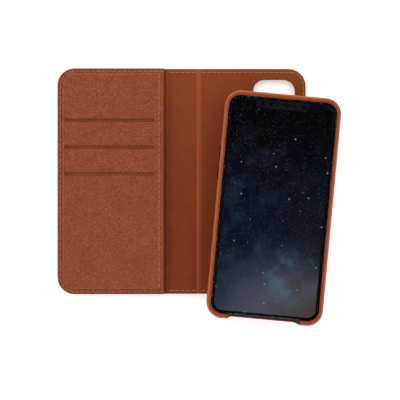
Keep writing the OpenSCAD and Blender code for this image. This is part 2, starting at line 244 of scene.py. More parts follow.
def bevel(width, segments):
    bpy.ops.mesh.bevel(offset=width, segments=segments, profile=0.5, affect="EDGES", clamp_overlap=False)


def round_corners(obj, r, test=lambda p: True, segments=12, axis=2):
    """Rounds the edges that run along one axis."""
    with editing(obj):
        pick(obj, "edges", lambda e: along(e, axis) and test(mid(e)))
        bevel(r, segments)


def round_rim(obj, z, r, segments=4, test=lambda p: True):
    """Rounds the edges where a wall meets the flat face at height z."""
    def at_rim(edge):
        if any(abs(v.co.z - z) > TINY for v in edge.verts) or len(edge.link_faces) != 2:
            return False
        flat = sum(abs(face.normal.z) > 0.9 for face in edge.link_faces)
        return flat == 1 and test(mid(edge))
    with editing(obj):
        pick(obj, "edges", at_rim)
        bevel(r, segments)


def flat_face(obj, way, z=None):
    """Picks the broad face that looks up or down."""
    faces = [f for f in bmesh.from_edit_mesh(obj.data).faces
             if f.normal.z * way > 0.9 and (z is None or abs(mid(f).z - z) < TINY)]
    broad = max(face.calc_area() for face in faces)
    pick(obj, "faces", lambda f: f.normal.z * way > 0.9 and f.calc_area() > 0.999 * broad)


def inset(width, rise=0.0):
    bpy.ops.mesh.inset(thickness=width, depth=rise, use_even_offset=True)


def extrude(move):
    bpy.ops.mesh.extrude_region_move(TRANSFORM_OT_translate={"value": move})


def carve(obj, *cutters):
    """Cuts the cutters out of obj and throws them away."""
    for cutter in cutters:
        tool = obj.modifiers.new("carve", "BOOLEAN")
        tool.operation, tool.solver, tool.object = "DIFFERENCE", "EXACT", cutter
        take(obj)
        bpy.ops.object.modifier_apply(modifier=tool.name)
        bpy.data.objects.remove(cutter)
    return obj


def modify(obj, kind, **settings):
    tool = obj.modifiers.new(kind.lower(), kind)
    for key, value in settings.items():
        setattr(tool, key, value)
    take(obj)
    bpy.ops.object.modifier_apply(modifier=tool.name)


def slice_at(obj, axis, places):
    """Adds edges where planes across one axis pass through obj."""
    normal = [float(axis == k) for k in range(3)]
    with editing(obj):
        for place in places:
            bpy.ops.mesh.select_all(action="SELECT")
            bpy.ops.mesh.bisect(plane_co=[place * n for n in normal], plane_no=normal, threshold=TINY / 10)


def keep_side(obj, x, way):
    """Cuts obj off at x, keeps the side that way points to, and closes the cut."""
    with editing(obj):
        bpy.ops.mesh.select_all(action="SELECT")
        bpy.ops.mesh.bisect(plane_co=(x, 0, 0), plane_no=(1, 0, 0), use_fill=True,
                            clear_inner=way > 0, clear_outer=way < 0, threshold=TINY / 10)
    return obj


def shift(obj, move, test):
    with editing(obj):
        pick(obj, "verts", test)
        bpy.ops.transform.translate(value=move)


def twin(obj, name):
    copy = obj.copy()
    copy.data = obj.data.copy()
    copy.name = copy.data.name = name
    bpy.context.scene.collection.objects.link(copy)
    return copy


def join(name, *objs):
    take(*objs)
    if len(objs) > 1:
        bpy.ops.object.join()
    return named(name)


def rounded_block(name, size, r, z0, z1, at=(0, 0), segments=12):
    low = (at[0] - size[0] / 2, at[1] - size[1] / 2, z0)
    high = (at[0] + size[0] / 2, at[1] + size[1] / 2, z1)
    obj = block(name, low, high)
    round_corners(obj, r, segments=segments)
    return obj


def grown(size, by):
    return size[0] + 2 * by, size[1] + 2 * by


def side_bar(name, x0, x1, y, length, height, z=Z_KEY):
    """A bar with half-round ends that lies along Y and is pushed through a side wall."""
    low = (min(x0, x1), y - length / 2, z - height / 2)
    high = (max(x0, x1), y + length / 2, z + height / 2)
    obj = block(name, low, high)
    round_corners(obj, HALF_ROUND * height, axis=0, segments=8)
    return close_ends(obj)


def lay_in_case(obj):
    obj.matrix_world = Matrix.Translation(CASE_AT) @ Matrix.Rotation(CASE_TURN, 4, "Z")
    return apply_place(obj)


def paint(obj, test):
    """Gives the faces that pass the test the piece's second finish."""
    for _ in range(2):
        obj.data.materials.append(None)
    with editing(obj):
        for face in bmesh.from_edit_mesh(obj.data).faces:
            face.material_index = int(test(face))


def complete(obj, body, slot, *materials, stands_for=(), crease=40):
    """Gives a piece its finishes, smooth shading and body; a piece given a bend instead of a body only has
    its place baked in.
    """
    while len(obj.data.materials) < len(materials):
        obj.data.materials.append(None)
    for k, material in enumerate(materials):
        obj.data.materials[k] = material
    take(obj)
    bpy.ops.object.shade_smooth_by_angle(angle=math.radians(crease))
    modify(obj, "WEIGHTED_NORMAL", keep_sharp=True, weight=80)
    place = obj.data.attributes.new("place", "FLOAT_VECTOR", "POINT")
    place.data.foreach_set("vector", [c for v in obj.data.vertices for c in v.co])
    if isinstance(body, str):
        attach(obj, body)
    else:
        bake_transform(obj)
    if stands_for:
        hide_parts(*stands_for)
    return obj


def complete_in_case(obj, *args, **more):
    """Completes a piece of the inner case or phone, once it is laid in place."""
    complete(lay_in_case(obj), *args, **more)


BACK_BEND = ("back_panel", "spine", FOLD_BACK + FOLD_REACH, FOLD_BACK - FOLD_REACH)
FRONT_BEND = ("spine", "front_cover", FOLD_FRONT + FOLD_REACH, FOLD_FRONT - FOLD_REACH)


# ---- Shader tools ----

def shade(code):
    """A linear colour from its usual six-digit code."""
    parts = [int(code[k:k + 2], 16) / 255 for k in (0, 2, 4)]
    return tuple(p / 12.92 if p <= 0.04045 else ((p + 0.055) / 1.055) ** 2.4 for p in parts) + (1.0,)


class Wiring:
    """Adds and joins the nodes of one material or node group."""

    def __init__(self, tree):
        self.tree = tree

    def feed(self, socket, value):
        if isinstance(value, bpy.types.NodeSocket):
            self.tree.links.new(value, socket)
        else:
            socket.default_value = value

    def add(self, kind, inputs=None, **settings):
        node = self.tree.nodes.new("ShaderNode" + kind)
        for key, value in settings.items():
            setattr(node, key, value)
        for key, value in (inputs or {}).items():
            self.feed(node.inputs[key], value)
        return node

    def math(self, operation, a, b=0.0):
        return self.add("Math", {0: a, 1: b}, operation=operation).outputs[0]

    def vector(self, operation, a, b=(0, 0, 0)):
        node = self.add("VectorMath", {0: a, 1: b}, operation=operation)
        return node.outputs[1 if operation in ("LENGTH", "DISTANCE") else 0]

    def scaled(self, a, by):
        return self.add("VectorMath", {0: a, 3: by}, operation="SCALE").outputs[0]

    def parts(self, a):
        return self.add("SeparateXYZ", {0: a}).outputs

    def fade(self, value, start, end, low=0.0, high=1.0):
        """Goes smoothly from low at start to high at end."""
        ends = {"Value": value, "From Min": start, "From Max": end, "To Min": low, "To Max": high}
        return self.add("MapRange", ends, interpolation_type="SMOOTHSTEP").outputs[0]

    def spread(self, tone, low=0.0, high=1.0):
        """Spreads the middle of a noise's range over the way from low to high."""
        return self.fade(tone, 0.3, 0.7, low, high)

    def mix(self, share, a, b):
        return self.add("Mix", {0: share, 6: a, 7: b}, data_type="RGBA", blend_type="MIX").outputs[2]

    def noise(self, place, size, detail=2.0, rough=0.5, colour=False):
        """Noise whose lumps are about size across."""
        inputs = {"Vector": place, "Scale": 1 / size, "Detail": detail, "Roughness": rough}
        node = self.add("TexNoise", inputs)
        return node.outputs[1 if colour else 0]

    def use(self, effect, **inputs):
        node = self.add("Group", node_tree=effect)
        for key, value in inputs.items():
            self.feed(node.inputs[key.replace("_", " ")], value)
        return node.outputs

    def bump(self, height, depth, strength=1.0):
        return self.add("Bump", {"Height": height, "Distance": depth, "Strength": strength}).outputs[0]


def effect(name, takes, gives):
    """A shader node group. takes gives each input's kind and starting value, gives names the outputs."""
    tree = bpy.data.node_groups.new(name, "ShaderNodeTree")
    for label, start in takes.items():
        kind = "NodeSocketVector" if isinstance(start, tuple) else "NodeSocketFloat"
        tree.interface.new_socket(label, in_out="INPUT", socket_type=kind).default_value = start
    for label in gives:
        tree.interface.new_socket(label, in_out="OUTPUT", socket_type="NodeSocketFloat")
    w = Wiring(tree)
    return w, tree.nodes.new("NodeGroupInput").outputs, tree.nodes.new("NodeGroupOutput").inputs


ORIGIN = (0.0, 0.0, 0.0)


def make_pebble():
    """Pebbled grain: round cells with creases between them, and a tone of its own for each cell."""
    w, given, gives = effect("pebbled grain", {"Place": ORIGIN, "Cell": MM}, ["Height", "Crease", "Tone"])
    place = w.scaled(given["Place"], w.math("DIVIDE", 1.0, given["Cell"]))
    wobble = w.vector("SUBTRACT", w.noise(place, 1.7, colour=True), (0.5, 0.5, 0.5))
    place = w.vector("ADD", place, w.scaled(wobble, 0.9))
    cells = {"Vector": place, "Scale": 1.0}
    rift = w.add("TexVoronoi", cells, feature="DISTANCE_TO_EDGE").outputs["Distance"]
    cell = w.add("TexVoronoi", cells, feature="F1").outputs["Color"]
    fine = w.math("MULTIPLY", w.noise(place, 0.22), 0.18)
    w.feed(gives["Height"], w.math("ADD", w.fade(rift, 0.0, 0.32), fine))
    w.feed(gives["Crease"], w.fade(rift, 0.2, 0.02))
    w.feed(gives["Tone"], w.parts(cell)[0])
    return w.tree


def make_smooth_hide():
    """Smooth leather: fine pores, and a slow cloudy change of tone."""
    w, given, gives = effect("smooth hide", {"Place": ORIGIN}, ["Height", "Tone"])
    pores = w.noise(given["Place"], 0.3 * MM, detail=3.0)
    creases = w.noise(given["Place"], 1.6 * MM, detail=2.0)
    w.feed(gives["Height"], w.math("ADD", pores, w.math("MULTIPLY", creases, 0.6)))
    w.feed(gives["Tone"], w.noise(given["Place"], 9 * MM, detail=4.0, rough=0.6))
    return w.tree


def make_outline():
    """How deep a point lies inside a rectangle with round corners."""
    takes = {"Place": ORIGIN, "Middle": ORIGIN, "Half": (1.0, 1.0, 0.0), "Radius": MM}
    w, given, gives = effect("depth inside outline", takes, ["Depth"])
    away = w.vector("ABSOLUTE", w.vector("SUBTRACT", given["Place"], given["Middle"]))
    round_part = w.add("CombineXYZ", {0: given["Radius"], 1: given["Radius"]}).outputs[0]
    over = w.vector("SUBTRACT", away, w.vector("SUBTRACT", given["Half"], round_part))
    outside = w.vector("LENGTH", w.vector("MULTIPLY", w.vector("MAXIMUM", over), (1, 1, 0)))
    x, y = w.parts(over)[0], w.parts(over)[1]
    inside = w.math("MINIMUM", w.math("MAXIMUM", x, y), 0.0)
    reach = w.math("ADD", outside, inside)
    w.feed(gives["Depth"], w.math("SUBTRACT", given["Radius"], reach))
    return w.tree


def make_wear():
    """Rubbing along an edge: strongest at the edge, and uneven further in."""
    w, given, gives = effect("edge wear", {"Place": ORIGIN, "Depth": 0.0, "Width": MM}, ["Mask"])
    uneven = w.math("MULTIPLY", w.noise(given["Place"], 2.5 * MM, detail=4.0), given["Width"])
    reach = w.math("MULTIPLY", given["Width"], 1.5)
    w.feed(gives["Mask"], w.fade(w.math("ADD", given["Depth"], uneven), reach, 0.0))
    return w.tree


def make_twist():
    """The strands of a twisted thread."""
    w, given, gives = effect("thread twist", {"Place": ORIGIN, "Pitch": 0.35 * MM}, ["Height", "Tone"])
    x, y, z = w.parts(given["Place"])
    slant = w.math("DIVIDE", w.math("ADD", w.math("ADD", x, y), z), given["Pitch"])
    w.feed(gives["Height"], w.math("SINE", w.math("MULTIPLY", slant, 2 * math.pi)))
    w.feed(gives["Tone"], w.noise(given["Place"], 0.8 * MM))
    return w.tree


def make_weave():
    """A plain weave with a little fuzz."""
    w, given, gives = effect("plain weave", {"Place": ORIGIN, "Pitch": 0.4 * MM}, ["Height", "Tone"])
    x, y, _ = w.parts(w.scaled(given["Place"], w.math("DIVIDE", 2 * math.pi, given["Pitch"])))
    cross = w.math("MULTIPLY", w.math("SINE", x), w.math("SINE", y))
    fuzz = w.noise(given["Place"], 0.15 * MM, detail=3.0)
    w.feed(gives["Height"], w.math("ADD", cross, fuzz))
    w.feed(gives["Tone"], w.math("ADD", w.math("MULTIPLY", cross, 0.15), w.noise(given["Place"], 1.5 * MM)))
    return w.tree


def make_fine_texture():
    """Fine surface of moulded, blasted or drawn hard parts; Stretch draws it out along X."""
    takes = {"Place": ORIGIN, "Size": 0.2 * MM, "Stretch": 1.0}
    w, given, gives = effect("fine texture", takes, ["Height", "Tone"])
    x, y, z = w.parts(given["Place"])
    drawn = w.add("CombineXYZ", {0: w.math("DIVIDE", x, given["Stretch"]), 1: y, 2: z}).outputs[0]
    place = w.scaled(drawn, w.math("DIVIDE", 1.0, given["Size"]))
    w.feed(gives["Height"], w.noise(place, 1.0, detail=3.0))
    w.feed(gives["Tone"], w.noise(place, 14.0, detail=3.0))
    return w.tree


PEBBLE = make_pebble()
SMOOTH_HIDE = make_smooth_hide()
OUTLINE = make_outline()
WEAR = make_wear()
TWIST = make_twist()
WEAVE = make_weave()
FINE = make_fine_texture()


def finish(name, **plain):
    """A material, its wiring and its shader, with the values that are the same all over."""
    material = bpy.data.materials.new(name)
    material.use_nodes = True
    w = Wiring(material.node_tree)
    shader = material.node_tree.nodes["Principled BSDF"]
    for key, value in plain.items():
        shader.inputs[key.replace("_", " ")].default_value = value
    return material, w, shader.inputs


def on_piece(w):
    return w.add("Attribute", attribute_name="place").outputs["Vector"]


def on_cad_node(w):
    return w.add("TexCoord").outputs["Object"]


def in_case(w, place):
    """The place measured from the inner case's own middle and along its own sides."""
    inputs = {"Vector": place, "Location": CASE_AT, "Rotation": (0, 0, CASE_TURN)}
    return w.add("Mapping", inputs, vector_type="TEXTURE").outputs[0]


def folio_wear(w, place, width):
    """Where the folio's outer edge is rubbed."""
    depth = w.use(OUTLINE, Place=place, Middle=((LEFT + RIGHT) / 2, 0, 0),
                  Half=((RIGHT - LEFT) / 2, HALF_H, 0), Radius=CORNER_R)["Depth"]
    return w.use(WEAR, Place=place, Depth=depth, Width=width)["Mask"]


# ---- Finishes ----

def grained_leather():
    material, w, skin = finish("grained chestnut leather", Specular_IOR_Level=0.2)
    place = on_piece(w)
    grain = w.use(PEBBLE, Place=place, Cell=1.9 * MM)
    hide = w.use(SMOOTH_HIDE, Place=place)
    wear = folio_wear(w, place, 0.8 * MM)
    colour = w.mix(grain["Tone"], shade("934a2a"), shade("9e5330"))
    colour = w.mix(w.fade(hide["Tone"], 0.35, 0.7, 0.0, 0.35), colour, shade("854121"))
    # painted shade: the creases between the grain's cells are painted darker
    colour = w.mix(w.math("MULTIPLY", grain["Crease"], 0.6), colour, shade("683115"))
    w.feed(skin["Base Color"], w.mix(w.math("MULTIPLY", wear, 0.85), colour, shade("b05426")))
    w.feed(skin["Roughness"], w.fade(grain["Height"], 0.0, 1.1, 0.72, 0.5))
    w.feed(skin["Normal"], w.bump(grain["Height"], 0.13 * MM, 0.8))
    return material


def lining_leather():
    material, w, skin = finish("smooth lining leather", Specular_IOR_Level=0.12)
    place = on_piece(w)
    x, y, _ = w.parts(place)
    hide = w.use(SMOOTH_HIDE, Place=place)
    wear = folio_wear(w, place, 0.7 * MM)
    from_fold = w.math("ABSOLUTE", w.math("SUBTRACT", x, FOLD_BACK))
    colour = w.mix(w.spread(hide["Tone"]), shade("7a3617"), shade("833c1a"))
    # painted light: the lining is painted lighter towards its top edge, as if lit from that side
    colour = w.mix(w.fade(y, -20 * MM, HALF_H, 0.0, 0.55), colour, shade("8f4620"))
    colour = w.mix(w.fade(from_fold, 1.9 * MM, 1.1 * MM, 0.0, 0.7), colour, shade("a2512a"))
    w.feed(skin["Base Color"], w.mix(w.math("MULTIPLY", wear, 0.8), colour, shade("af5120")))
    w.feed(skin["Roughness"], w.spread(hide["Tone"], 0.62, 0.5))
    w.feed(skin["Normal"], w.bump(hide["Height"], 0.02 * MM, 0.6))
    return material


def case_leather():
    material, w, skin = finish("case leather", Specular_IOR_Level=0.3)
    place = on_piece(w)
    local = in_case(w, place)
    depth = w.use(OUTLINE, Place=local, Half=(CASE[0] / 2, CASE[1] / 2, 0), Radius=CASE_R)["Depth"]
    hide = w.use(SMOOTH_HIDE, Place=place)
    grain = w.use(PEBBLE, Place=place, Cell=0.7 * MM)
    height = w.parts(local)[2]
    colour = w.mix(w.spread(hide["Tone"]), shade("8f421c"), shade("9a4b22"))
    # painted highlight: a paler band on the outer shoulder of the lip, where light catches its rounding
    near_rim = w.fade(height, CASE[2] - 1.6 * MM, CASE[2] - 0.2 * MM)
    painted_lip_highlight = w.math("MULTIPLY", near_rim, w.fade(depth, 2.6 * MM, 0.9 * MM))
    colour = w.mix(w.math("MULTIPLY", painted_lip_highlight, 0.8), colour, shade("b96238"))
    # painted shade: the inner side of the lip's top, which slopes into the cavity, is painted darker
    on_top = w.fade(height, CASE[2] - 0.7 * MM, CASE[2] - 0.1 * MM)
    inner_band = w.math("MULTIPLY", w.fade(depth, 1.5 * MM, 1.8 * MM), on_top)
    colour = w.mix(w.math("MULTIPLY", inner_band, 0.85), colour, shade("8f3e16"))
    # painted shade: the creases of the grain are painted darker
    w.feed(skin["Base Color"], w.mix(w.math("MULTIPLY", grain["Crease"], 0.3), colour, shade("753616")))
    w.feed(skin["Roughness"], w.spread(hide["Tone"], 0.5, 0.42))
    relief = w.math("ADD", w.math("MULTIPLY", grain["Height"], 0.6), hide["Height"])
    w.feed(skin["Normal"], w.bump(relief, 0.03 * MM, 0.6))
    return material


def sewing_thread():
    material, w, skin = finish("waxed thread", Specular_IOR_Level=0.35, Roughness=0.6)
    twist = w.use(TWIST, Place=on_piece(w))
    colour = w.mix(twist["Tone"], shade("c07853"), shade("ce8c66"))
    # painted shade: the grooves between the thread's strands are painted darker
    between = w.fade(twist["Height"], 0.0, -1.0, 0.0, 0.5)
    w.feed(skin["Base Color"], w.mix(between, colour, shade("a8664a")))
    w.feed(skin["Normal"], w.bump(twist["Height"], 0.03 * MM, 0.8))
    return material


def woven_cloth(name, place_of, dark, light, pitch):
    material, w, skin = finish(name, Specular_IOR_Level=0.1, Roughness=0.85, Sheen_Weight=0.08)
    weave = w.use(WEAVE, Place=place_of(w), Pitch=pitch)
    w.feed(skin["Base Color"], w.mix(weave["Tone"], shade(dark), shade(light)))
    w.feed(skin["Normal"], w.bump(weave["Height"], 0.03 * MM, 0.7))
    return material


def hard_finish(name, place_of, dark, light, size=0.2 * MM, stretch=1.0, relief=0.01 * MM,
                smooth=0.3, rough=0.5, **plain):
    """Metal, moulded plastic or board: a tone that drifts, and a fine relief."""
    material, w, skin = finish(name, **plain)
    fine = w.use(FINE, Place=place_of(w), Size=size, Stretch=stretch)
    w.feed(skin["Base Color"], w.mix(fine["Tone"], shade(dark), shade(light)))
    w.feed(skin["Roughness"], w.spread(fine["Tone"], smooth, rough))
    w.feed(skin["Normal"], w.bump(fine["Height"], relief, 0.6))
    return material


def clear_glass():
    material, w, skin = finish("cover glass", Transmission_Weight=1.0, IOR=1.45, Metallic=0.0)
    smudge = w.noise(on_piece(w), 12 * MM, detail=4.0)
    w.feed(skin["Base Color"], w.mix(smudge, (0.97, 0.98, 1.0, 1.0), (1.0, 1.0, 1.0, 1.0)))
    w.feed(skin["Roughness"], w.fade(smudge, 0.45, 0.75, 0.02, 0.07))
    return material


def night_sky():
    """The lit display: a dark sky that pales towards its foot, with dust clouds and stars."""
    material, w, skin = finish("lit display", Roughness=0.4, Specular_IOR_Level=0.02, Emission_Strength=1.0)
    sky = in_case(w, on_piece(w))
    flat = w.vector("MULTIPLY", sky, (1, 1, 0))
    u, v, _ = w.parts(flat)
    cloud = w.noise(flat, 26 * MM, detail=8.0, rough=0.6)
    puff = w.noise(w.vector("ADD", flat, (0.3, 0.1, 0.0)), 14 * MM, detail=7.0, rough=0.62)
    drift = w.math("MULTIPLY", w.math("SUBTRACT", cloud, 0.5), 90 * MM)
    level = w.math("ADD", w.math("SUBTRACT", v, w.math("MULTIPLY", u, 0.3)), drift)

    def near(x, y, reach):
        return w.fade(w.vector("DISTANCE", flat, (x, y, 0)), reach, 0.2 * reach)

    colour = w.mix(w.fade(v, 55 * MM, -25 * MM), shade("020307"), shade("0c1120"))
    haze = w.math("MULTIPLY", w.fade(puff, 0.42, 0.72), w.fade(u, 30 * MM, -30 * MM, 0.15, 1.0))
    colour = w.mix(w.math("MULTIPLY", haze, w.fade(v, 62 * MM, 20 * MM, 0.0, 0.5)), colour, shade("22364f"))
    colour = w.mix(w.fade(level, -14 * MM, -74 * MM, 0.0, 0.9), colour, shade("383f52"))
    colour = w.mix(w.math("MULTIPLY", near(8 * MM, -72 * MM, 42 * MM), 0.6), colour, shade("58555d"))
    colour = w.mix(w.math("MULTIPLY", near(30 * MM, -62 * MM, 34 * MM), 0.8), colour, shade("463b33"))
    glow = w.math("MULTIPLY", near(14 * MM, -46 * MM, 26 * MM), w.fade(cloud, 0.4, 0.6))
    colour = w.mix(glow, colour, shade("4a5f70"))
    dark_side = w.math("MULTIPLY", near(34 * MM, -18 * MM, 34 * MM), w.fade(puff, 0.62, 0.42))
    colour = w.mix(dark_side, colour, shade("17171d"))

    def stars(spacing, size, share):
        cells = {"Vector": flat, "Scale": 1 / spacing}
        dots = w.add("TexVoronoi", cells, feature="F1", voronoi_dimensions="2D")
        lit = w.fade(w.parts(dots.outputs["Color"])[0], 1 - share, 1.0)
        return w.math("MULTIPLY", w.fade(dots.outputs["Distance"], size / spacing, 0.0), lit)

    many = w.math("MULTIPLY", stars(1.9 * MM, 0.3 * MM, 0.5), 0.27)
    few = stars(11.0 * MM, 0.55 * MM, 0.6)
    shine = w.math("MINIMUM", w.math("ADD", many, few), 1.0)
    w.feed(skin["Emission Color"], w.mix(shine, colour, shade("c8d0dc")))
    w.feed(skin["Base Color"], shade("010101"))
    return material


OUTER = grained_leather()
LINING = lining_leather()
CASE_HIDE = case_leather()
THREAD = sewing_thread()
POCKET_CLOTH = woven_cloth("pocket lining", on_piece, "894523", "99512d", 0.35 * MM)
BACKING_CLOTH = woven_cloth("pocket backing", on_cad_node, "5a3320", "6b4029", 0.35 * MM)
MICROFIBRE = woven_cloth("microfibre", on_cad_node, "57524c", "6e6860", 0.25 * MM)
KEY_METAL = hard_finish(
    "black key metal", on_piece, "0e0e10", "1a1a1d", smooth=0.3, rough=0.42, Metallic=0.9)
FRAME_METAL = hard_finish(
    "polished black frame", on_piece, "0b0c0f", "15161a",
    size=0.1 * MM, relief=0.002 * MM, smooth=0.18, rough=0.3, Metallic=0.9)
SIDE_KEY_METAL = hard_finish("black side key metal", on_cad_node, "0b0c0f", "17181c", Metallic=0.9)
BLACK_GLASS = hard_finish(
    "black glass", on_piece, "050608", "0b0c10",
    relief=0.0005 * MM, smooth=0.05, rough=0.12, Coat_Weight=0.5)
# the black border under the glass is real; its grey, lighter than black, is a painted highlight of the
# glass edge's rounding
PRINTED_BORDER_AND_PAINTED_HIGHLIGHT = hard_finish(
    "printed border", on_piece, "121216", "18181c", smooth=0.4, rough=0.5, Specular_IOR_Level=0.05)
SENSOR_GREY = hard_finish(
    "sensor bar face", on_piece, "19191a", "202022", smooth=0.35, rough=0.45, Specular_IOR_Level=0.1)
DISPLAY = night_sky()
GLASS = clear_glass()
BOARD = hard_finish(
    "grey board", on_cad_node, "685f55", "7d7469",
    size=0.5 * MM, relief=0.04 * MM, smooth=0.8, rough=0.9)
NICKEL = hard_finish(
    "nickel-plated magnet", on_cad_node, "a9a9a4", "c4c4bf", smooth=0.2, rough=0.34, Metallic=1.0)
STEEL = hard_finish(
    "rolled steel", on_cad_node, "8d8f92", "a9abad",
    size=0.12 * MM, stretch=40.0, smooth=0.3, rough=0.45, Metallic=1.0)
SHELL = hard_finish(
    "moulded shell", on_cad_node, "0f0d0d", "171514",
    size=0.3 * MM, relief=0.02 * MM, smooth=0.5, rough=0.62)
BALLAST = hard_finish(
    "cast weight", on_cad_node, "6c6e70", "86888a", size=0.6 * MM, relief=0.03 * MM, Metallic=1.0)
CONTACT = hard_finish("contact metal", on_cad_node, "3a3a3c", "8a7a52", size=0.3 * MM, Metallic=0.8)


# ---- Folio: outer leather and lining ----

CREASE_HALF = 1.5 * MM
GROOVE_DEPTH = 0.09 * MM
SKIN_ROLL = 0.9 * MM        # rounding of the outer leather's turned edge
LINING_ROLL = 0.2 * MM
BOARD_R = 8.1 * MM          # corners of the room for a board
BOARD_PLAY = 0.05 * MM
WINDOW_WALL = 1.9 * MM      # leather between the window and the board
ROW_PITCH = 0.4 * MM        # between the rows of edges across a fold
FOLD_ROWS = [k * ROW_PITCH for k in range(-5, 6)]
VALLEY = [0.28, 0.26, 0.18, 0.08]           # lift of each row from the fold's line outwards, in mm
RIDGE = [0.13, 0.12, 0.07, -0.04, -0.14]


def depth_inside(p):
    """How far a point lies inside the folio's outline."""
    over_x = abs(p.x - (LEFT + RIGHT) / 2) - ((RIGHT - LEFT) / 2 - CORNER_R)
    over_y = abs(p.y) - (HALF_H - CORNER_R)
    return CORNER_R - math.hypot(max(over_x, 0), max(over_y, 0)) - min(max(over_x, over_y), 0)


def press_seam(obj, way, face_inset, depth=GROOVE_DEPTH):
    """Presses a groove for the edge seam into the broad face that looks up or down."""
    with editing(obj):
        flat_face(obj, way)
        inset(SEAM_INSET - SEAM_GROOVE - face_inset)
        inset(SEAM_GROOVE, -depth)
        inset(SEAM_GROOVE, depth)


def in_window(p, margin=0.1 * MM):
    return all(abs(p[k] - WINDOW_AT[k]) < WINDOW[k] / 2 + margin for k in (0, 1))


def folio_sheet(name, z0, z1, face, roll, relief):
    """One skin of the folio from edge to edge; face is the side that shows, and relief shapes its folds."""
    shown, hidden = (z1, z0) if face == UP else (z0, z1)
    sheet = block(name, (LEFT, -HALF_H, z0), (RIGHT, HALF_H, z1))
    round_corners(sheet, CORNER_R)
    round_rim(sheet, shown, roll, segments=5)
    round_rim(sheet, hidden, 0.1 * MM, segments=1)
    press_seam(sheet, face, roll)
    groove_from = SEAM_INSET - SEAM_GROOVE - TINY
    shift(sheet, (SEAM_INSET - FREE_SEAM_INSET, 0, 0),
          lambda v: v.co.x > RIGHT - CORNER_R - TINY and depth_inside(v.co) > groove_from)
    for fold in (FOLD_BACK, FOLD_FRONT):
        slice_at(sheet, 0, [fold + row for row in FOLD_ROWS])
        for k, lift in enumerate(relief):
            row = k * ROW_PITCH
            shift(sheet, (0, 0, lift * MM),
                  lambda v: abs(abs(v.co.x - fold) - row) < TINY and (v.co.z - (z0 + z1) / 2) * face > 0)
    return sheet


def window_cutter():
    return rounded_block("window cutter", WINDOW, WINDOW_R, -MM, Z_INSIDE + MM, at=WINDOW_AT)


def board_room(node, rounded_side):
    """Room for a board, which leaves a rim round the folio's edge and round the window."""
    low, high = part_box(node)
    play = Vector((BOARD_PLAY, BOARD_PLAY, 0.0))
    room = block("board room", low - play, high + play + Vector((0, 0, MM)))
    if rounded_side:
        round_corners(room, BOARD_R, test=lambda p: (p.x - (low.x + high.x) / 2) * rounded_side > 0)
    if node == "back_board":
        size, r = grown(WINDOW, WINDOW_WALL), WINDOW_R + WINDOW_WALL
        carve(room, rounded_block("window wall", size, r, -MM, 5 * MM, WINDOW_AT))
    return room


def two_halves(sheet, back_name, front_name):
    """Cuts a sheet along the middle of the spine, where nothing bends."""
    front = keep_side(twin(sheet, front_name), MID_SPINE, -1)
    sheet.name = sheet.data.name = back_name
    return keep_side(sheet, MID_SPINE, 1), front


def make_folio():
    skin = folio_sheet("skin", 0.0, Z_LINING, DOWN, SKIN_ROLL, VALLEY)
    carve(skin, board_room("back_board", 1), board_room("spine_board", 0), board_room("front_board", -1),
          window_cutter())
    round_rim(skin, 0.0, 0.5 * MM, segments=3, test=in_window)
    back, front = two_halves(skin, "back_leather", "front_leather")
    complete(back, BACK_BEND, "outer_leather", OUTER,
             stands_for=("back_outer_leather", "back_fold_strip", "spine_outer_leather"))
    complete(front, FRONT_BEND, "outer_leather", OUTER,
             stands_for=("front_outer_leather", "front_fold_strip"))

    lining = folio_sheet("lining", Z_LINING, Z_INSIDE, UP, LINING_ROLL, RIDGE)
    carve(lining, window_cutter())
    round_rim(lining, Z_INSIDE, LINING_ROLL, segments=3, test=in_window)
    back, front = two_halves(lining, "back_lining_leather", "front_lining_leather")
    complete(back, BACK_BEND, "lining_leather", LINING, stands_for=("back_lining", "spine_lining"))
    complete(front, FRONT_BEND, "lining_leather", LINING, stands_for=("front_lining",))


# ---- Stitching ----

def make_stitch():
    """One stitch along X: round thread whose ends dive into the leather."""
    bend = 0.5 * MM
    stitch = rod("stitch", (0, 0, 0), THREAD_R, STITCH_L, axis="X", sides=8)
    slice_at(stitch, 0, [k * bend for k in (-2, -1, 1, 2)])
    for reach, dip in ((2 * bend, 0.08 * MM), (STITCH_L / 2, 0.3 * MM)):
        shift(stitch, (0, 0, -dip), lambda v: abs(abs(v.co.x) - reach) < TINY)
    return stitch


def seam_run(a, b):
    count = int((b - a).length / STITCH_PITCH)
    turn = math.atan2(b.y - a.y, b.x - a.x)
    return [(a + (b - a) * (k + 0.5) / count, turn) for k in range(count)]


def seam_arc(centre, r, start):
    count = int(r * math.pi / 2 / STITCH_PITCH)
    turns = [start + math.pi / 2 * (k + 0.5) / count for k in range(count)]
    return [(centre + r * Vector((math.cos(t), math.sin(t))), t + math.pi / 2) for t in turns]


def edge_seam(x0, x1, side):
    """Places of the stitches round one panel; side is where its free edge is, or 0."""
    y = HALF_H - SEAM_INSET
    r = CORNER_R - SEAM_INSET
    free_x = x1 - FREE_SEAM_INSET if side > 0 else x0 + SEAM_INSET
    low = free_x + r if side < 0 else x0
    high = free_x - r if side > 0 else x1
    places = []
    for s in (-1, 1):
        places += seam_run(Vector((low, s * y)), Vector((high, s * y)))
    if side:
        places += seam_run(Vector((free_x, r - y)), Vector((free_x, y - r)))
        places += seam_arc(Vector((free_x - side * r, y - r)), r, 0.0 if side > 0 else math.pi / 2)
        places += seam_arc(Vector((free_x - side * r, r - y)), r, 1.5 * math.pi if side > 0 else math.pi)
    return places


def sew(name, body, places, z, stitch, way=UP, stands_for=()):
    """Copies the stitch to its places and joins the copies into one seam."""
    stitches = []
    for at, turn in places:
        copy = twin(stitch, name)
        copy.matrix_world = Matrix.Translation((at.x, at.y, z)) @ Matrix.Rotation(turn, 4, "Z")
        if way == DOWN:
            copy.matrix_world = copy.matrix_world @ Matrix.Rotation(math.pi, 4, "X")
        stitches.append(copy)
    take(*stitches)
    bpy.ops.object.transform_apply(location=True, rotation=True, scale=True)
    complete(join(name, *stitches), body, "thread", THREAD, stands_for=stands_for)


